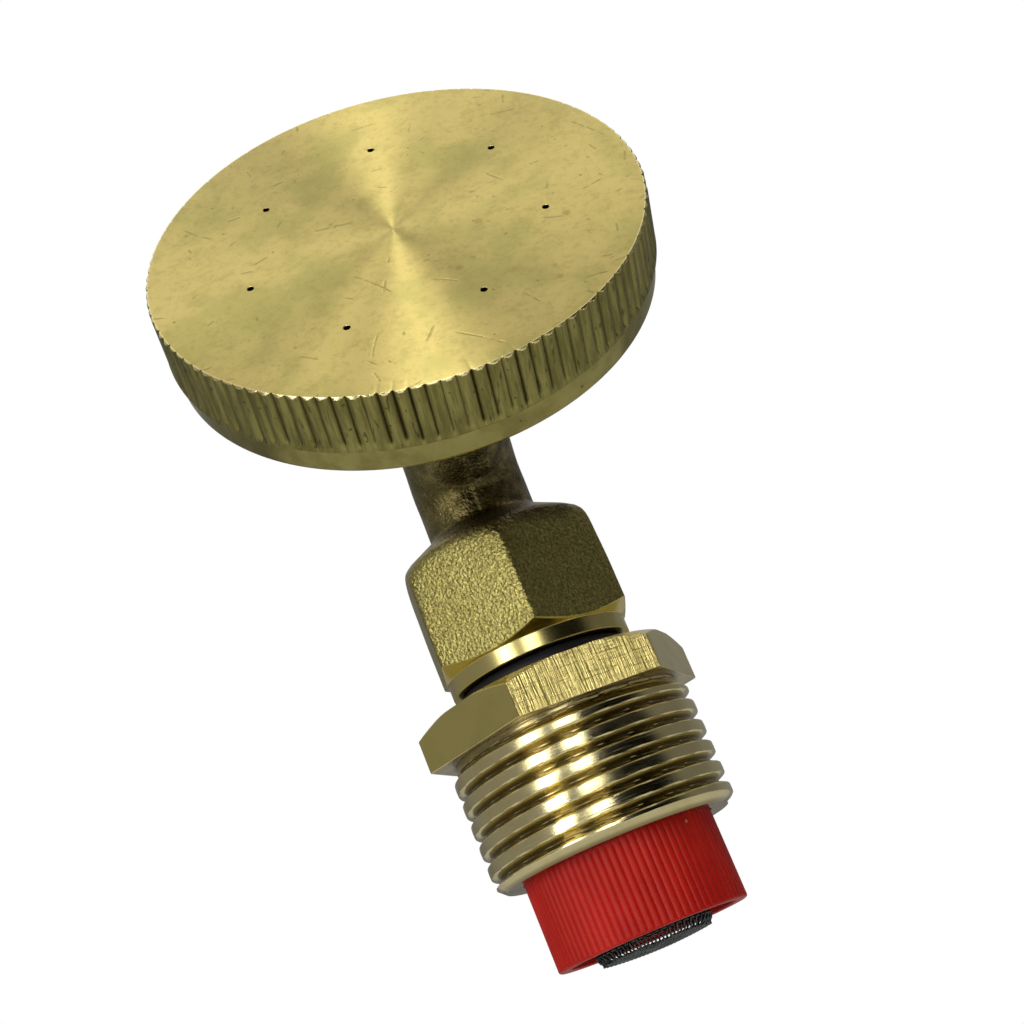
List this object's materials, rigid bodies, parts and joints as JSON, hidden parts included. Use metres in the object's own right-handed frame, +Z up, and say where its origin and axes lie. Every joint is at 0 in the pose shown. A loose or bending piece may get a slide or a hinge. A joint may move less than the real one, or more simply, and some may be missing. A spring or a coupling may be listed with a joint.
{
  "type": "automatic air vent",
  "caption": "Brass automatic air vent: knurled disc head with tiny vent holes on an angled swivel elbow, threaded inlet with plastic check cage and mesh strainer.",
  "frame": {"origin": "centre of the inlet thread at the underside of the hex flange, which is the seating face", "axes": "+Z runs up the inlet axis away from the pipe; the head leans towards -Y; +X is to the right of the head seen from its face"},
  "size_m": [0.0394, 0.0437, 0.0731],
  "materials": {
    "forged_brass": "sand-blasted forging",
    "turned_brass": "fine turned, slightly tarnished",
    "bright_brass": "polished machined",
    "red_plastic": "moulded, satin",
    "white_plastic": "moulded, satin",
    "black_rubber": "smooth moulded",
    "spring_steel": "drawn wire",
    "steel_mesh": "woven wire, darkened",
    "fibre": "pressed cellulose"
  },
  "bodies": {
    "inlet": {"male_adapter": "bright_brass", "swivel_oring": "black_rubber", "check_cage": "red_plastic", "cage_oring": "black_rubber", "spring_guide": "white_plastic", "check_spring": "spring_steel", "strainer_mesh": "steel_mesh", "strainer_ring": "spring_steel"},
    "head": {"elbow_body": "forged_brass", "spigot_oring": "black_rubber", "thrust_washer": "white_plastic", "spigot_clip": "spring_steel", "valve_seat": "turned_brass", "plunger_spring": "spring_steel", "fibre_disc_1": "fibre", "fibre_disc_2": "fibre", "fibre_disc_3": "fibre", "fibre_disc_4": "fibre", "fibre_disc_5": "fibre"},
    "lid_carrier": {"cap_gasket": "black_rubber", "pressure_plate": "turned_brass"},
    "cap": {"vent_cap": "turned_brass"},
    "plunger": {"vent_plunger": "turned_brass", "plunger_seal": "black_rubber"},
    "poppet": {"check_poppet": "white_plastic", "poppet_seal": "black_rubber"}
  },
  "joints": [
    {"name": "head_swivel", "type": "hinge", "parent": "inlet", "child": "head", "pos_m": [0, 0, 0.003], "axis": [0, 0, 1], "continuous": true},
    {"name": "cap_lift", "type": "slide", "parent": "head", "child": "lid_carrier", "axis": [0, -0.866, 0.5], "range_m": [0, 0.00301]},
    {"name": "cap_turn", "type": "hinge", "parent": "lid_carrier", "child": "cap", "pos_m": [0, -0.0226, 0.03675], "axis": [0, -0.866, 0.5], "range_deg": [0, 720]},
    {"name": "plunger_travel", "type": "slide", "parent": "head", "child": "plunger", "axis": [0, -0.866, 0.5], "range_m": [-0.0007, 0], "stiffness_N_per_m": 150, "springref_m": 0.004, "deforming": ["plunger_spring"]},
    {"name": "poppet_lift", "type": "slide", "parent": "inlet", "child": "poppet", "axis": [0, 0, 1], "range_m": [0, 0.0015], "stiffness_N_per_m": 40, "springref_m": -0.003, "deforming": ["check_spring"]}
  ],
  "couplings": [
    {"joint": "cap_lift", "follows": "cap_turn", "m_per_rad": 0.00023873}
  ]
}
